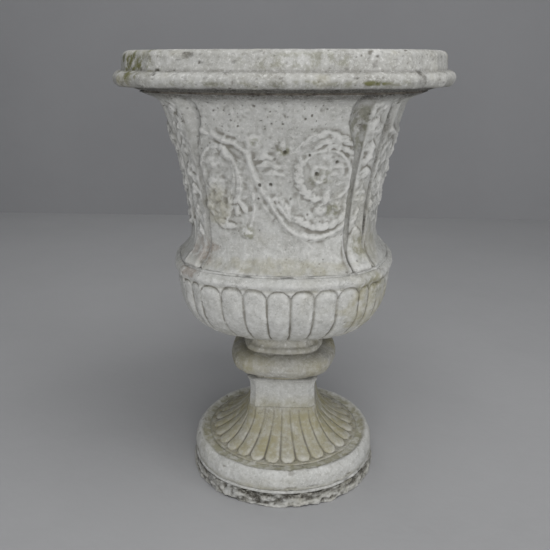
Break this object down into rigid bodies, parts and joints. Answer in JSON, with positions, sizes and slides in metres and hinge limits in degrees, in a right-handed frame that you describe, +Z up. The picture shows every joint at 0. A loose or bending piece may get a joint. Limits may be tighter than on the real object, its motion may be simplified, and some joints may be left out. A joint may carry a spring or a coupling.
{
  "type": "garden urn",
  "caption": "Tall weathered garden urn: moulded rim with canted corners, flared bell with foliage frieze, gadrooned bowl, cushion knop and fluted foot on a low plinth.",
  "frame": {"origin": "centre of the underside of the base slab, on the ground", "axes": "+Z up along the urn's axis; the front face looks towards -Y; +X is to the right seen from the front"},
  "size_m": [0.54, 0.54, 0.755],
  "materials": {
    "limewashed_terracotta": "matt, limewashed, weathered and pitted",
    "mortar": "rough lime mortar, dirty",
    "rod_steel": "dull, lightly rusted"
  },
  "bodies": {
    "root": {"rim": "limewashed_terracotta", "bell": "limewashed_terracotta", "bowl": "limewashed_terracotta", "knop": "limewashed_terracotta", "stem": "limewashed_terracotta", "foot": "limewashed_terracotta", "plinth": "limewashed_terracotta", "base_slab": "limewashed_terracotta", "rim_bed": "mortar", "bell_bed": "mortar", "bowl_bed": "mortar", "plinth_bed": "mortar", "tie_rod": "rod_steel", "top_washer": "rod_steel", "top_nut": "rod_steel", "bottom_washer": "rod_steel", "bottom_nut": "rod_steel"}
  },
  "joints": []
}
